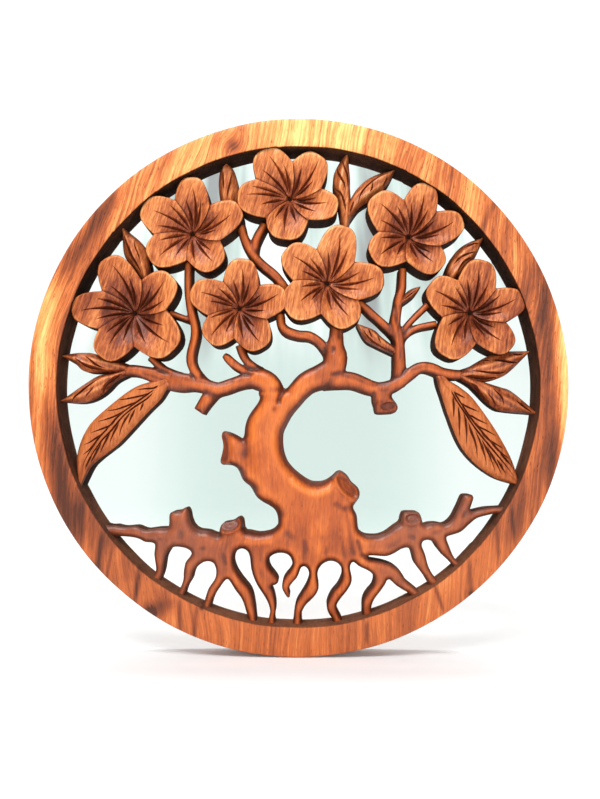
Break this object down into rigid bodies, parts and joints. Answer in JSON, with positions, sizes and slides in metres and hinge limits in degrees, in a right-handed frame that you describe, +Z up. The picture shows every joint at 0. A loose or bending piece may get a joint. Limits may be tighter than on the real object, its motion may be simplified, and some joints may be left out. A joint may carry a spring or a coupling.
{
  "type": "carved wall panel",
  "caption": "Round openwork wall panel of carved hardwood: a tree with open flowers, leaves and roots inside a plain rim.",
  "frame": {"origin": "on the flat back face, at twelve o'clock, in the middle of the rim's width", "axes": "+Y into the wall, square to the panel; +Z up; +X to the right seen from the front"},
  "size_m": [0.2998, 0.02, 0.2998],
  "materials": {
    "hardwood": "satin, oiled and waxed, with dark heartwood streaks"
  },
  "bodies": {
    "root": {"carved_panel": "hardwood"}
  },
  "joints": []
}
